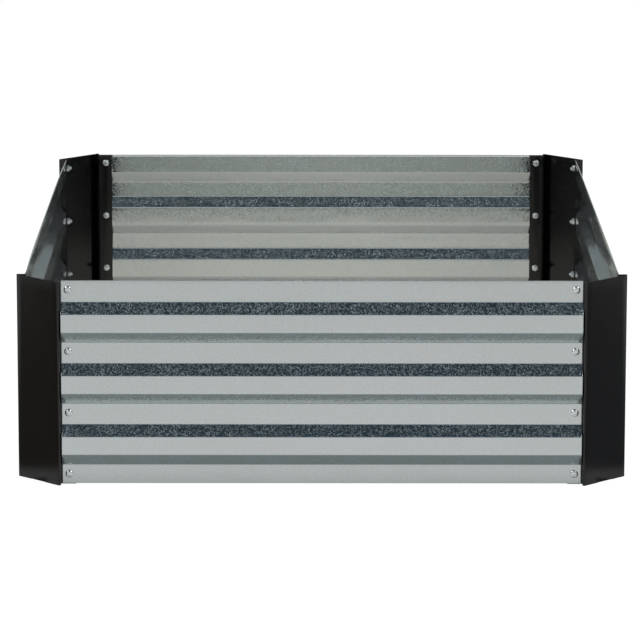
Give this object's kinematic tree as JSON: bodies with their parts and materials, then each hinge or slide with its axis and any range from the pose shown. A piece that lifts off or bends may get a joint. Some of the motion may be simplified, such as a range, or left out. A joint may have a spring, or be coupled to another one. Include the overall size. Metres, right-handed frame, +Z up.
{
  "type": "raised garden bed",
  "caption": "Low rectangular raised garden bed: ribbed galvanised sheet panels screwed to folded black corner posts, open top and bottom.",
  "frame": {"origin": "on the ground, under the middle of the bed", "axes": "+X along the short side, to the right seen from the front; +Y along the long side, from front to back; +Z up"},
  "size_m": [0.9, 1.2, 0.305],
  "materials": {
    "galvanised_sheet": "hot-dip galvanised with a fine spangle",
    "black_post": "semi-gloss black powder coat",
    "zinc_fasteners": "bright zinc plate"
  },
  "bodies": {
    "root": {"panel_front": "galvanised_sheet", "panel_back": "galvanised_sheet", "panel_left": "galvanised_sheet", "panel_right": "galvanised_sheet", "post_front_left": "black_post", "post_front_right": "black_post", "post_back_left": "black_post", "post_back_right": "black_post", "screw_front_left_1": "zinc_fasteners", "screw_front_left_2": "zinc_fasteners", "screw_front_left_3": "zinc_fasteners", "screw_front_left_4": "zinc_fasteners", "screw_front_right_1": "zinc_fasteners", "screw_front_right_2": "zinc_fasteners", "screw_front_right_3": "zinc_fasteners", "screw_front_right_4": "zinc_fasteners", "screw_back_left_1": "zinc_fasteners", "screw_back_left_2": "zinc_fasteners", "screw_back_left_3": "zinc_fasteners", "screw_back_left_4": "zinc_fasteners", "screw_back_right_1": "zinc_fasteners", "screw_back_right_2": "zinc_fasteners", "screw_back_right_3": "zinc_fasteners", "screw_back_right_4": "zinc_fasteners", "screw_left_front_1": "zinc_fasteners", "screw_left_front_2": "zinc_fasteners", "screw_left_front_3": "zinc_fasteners", "screw_left_front_4": "zinc_fasteners", "screw_left_back_1": "zinc_fasteners", "screw_left_back_2": "zinc_fasteners", "screw_left_back_3": "zinc_fasteners", "screw_left_back_4": "zinc_fasteners", "screw_right_front_1": "zinc_fasteners", "screw_right_front_2": "zinc_fasteners", "screw_right_front_3": "zinc_fasteners", "screw_right_front_4": "zinc_fasteners", "screw_right_back_1": "zinc_fasteners", "screw_right_back_2": "zinc_fasteners", "screw_right_back_3": "zinc_fasteners", "screw_right_back_4": "zinc_fasteners"}
  },
  "joints": []
}
